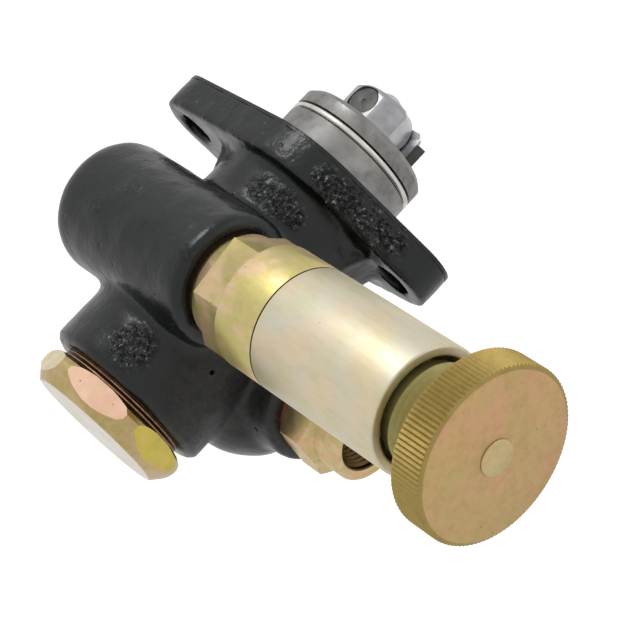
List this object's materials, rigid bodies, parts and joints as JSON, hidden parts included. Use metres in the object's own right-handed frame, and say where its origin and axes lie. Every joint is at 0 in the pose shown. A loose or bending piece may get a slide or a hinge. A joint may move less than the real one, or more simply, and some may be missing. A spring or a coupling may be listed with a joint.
{
  "type": "fuel lift pump",
  "caption": "Cam-driven fuel lift pump with roller tappet, two-hole flange, hex plug, outlet connector and screw-down hand primer.",
  "frame": {"origin": "centre of the flange's mounting face, on the tappet axis", "axes": "+Y along the tappet towards the cam, +Z along the hand primer towards its knob, +X to the outlet side"},
  "size_m": [0.0749, 0.1031, 0.1459],
  "materials": {
    "casting": "gloss black paint over a rough casting, spigot turned bright",
    "ring_steel": "bright drawn steel",
    "tappet_steel": "ground steel",
    "roller_steel": "ground steel",
    "pin_steel": "black oxide steel",
    "spring_steel": "spring steel",
    "plug_zinc": "yellow passivated zinc",
    "connector_zinc": "yellow passivated zinc",
    "primer_zinc": "yellow passivated zinc, iridescent",
    "barrel_zinc": "pale yellow passivated zinc",
    "knob_zinc": "olive yellow passivated zinc",
    "rod_zinc": "yellow passivated zinc",
    "copper": "soft copper",
    "plunger_brass": "turned brass",
    "valve_plastic": "dark moulded plastic",
    "seal_rubber": "black rubber"
  },
  "bodies": {
    "pump": {"pump_housing": "casting", "spigot_ring": "ring_steel", "piston_plug": "plug_zinc", "plug_gasket": "copper", "outlet_gasket": "copper", "outlet_connector": "connector_zinc", "primer_gasket": "copper", "primer_base": "primer_zinc", "primer_barrel": "barrel_zinc", "piston_spring": "spring_steel", "suction_valve_spring": "spring_steel", "pressure_valve_spring": "spring_steel"},
    "tappet": {"tappet_body": "tappet_steel", "tappet_guide_key": "pin_steel", "roller_pin": "pin_steel"},
    "roller": {"tappet_roller": "roller_steel"},
    "piston": {"push_rod": "tappet_steel", "pump_piston": "tappet_steel"},
    "suction_valve": {"suction_valve_plate": "valve_plastic"},
    "pressure_valve": {"pressure_valve_plate": "valve_plastic"},
    "primer_piston": {"primer_plunger": "plunger_brass", "primer_plunger_seal": "seal_rubber"},
    "primer_handle": {"primer_rod": "rod_zinc", "primer_knob": "knob_zinc"}
  },
  "joints": [
    {"name": "tappet_slide", "type": "slide", "parent": "pump", "child": "tappet", "axis": [0, -1, 0], "range_m": [0, 0.006], "stiffness_N_per_m": 900, "springref_m": -0.012},
    {"name": "roller_spin", "type": "hinge", "parent": "tappet", "child": "roller", "pos_m": [0, 0.0184, 0], "axis": [1, 0, 0], "continuous": true},
    {"name": "piston_slide", "type": "slide", "parent": "pump", "child": "piston", "axis": [0, -1, 0], "range_m": [0, 0.006], "deforming": ["piston_spring"]},
    {"name": "suction_valve_lift", "type": "slide", "parent": "pump", "child": "suction_valve", "axis": [0, 0, 1], "range_m": [0, 0.0015], "stiffness_N_per_m": 250, "springref_m": -0.002, "deforming": ["suction_valve_spring"]},
    {"name": "pressure_valve_lift", "type": "slide", "parent": "pump", "child": "pressure_valve", "axis": [0, 0, 1], "range_m": [0, 0.0015], "stiffness_N_per_m": 250, "springref_m": -0.002, "deforming": ["pressure_valve_spring"]},
    {"name": "primer_slide", "type": "slide", "parent": "pump", "child": "primer_piston", "axis": [0, 0, 1], "range_m": [-0.01, 0.022]},
    {"name": "knob_turn", "type": "hinge", "parent": "primer_piston", "child": "primer_handle", "pos_m": [-0.019, -0.0367, 0.1], "axis": [0, 0, 1], "continuous": true}
  ],
  "couplings": [
    {"joint": "piston_slide", "follows": "tappet_slide", "ratio": 1}
  ]
}
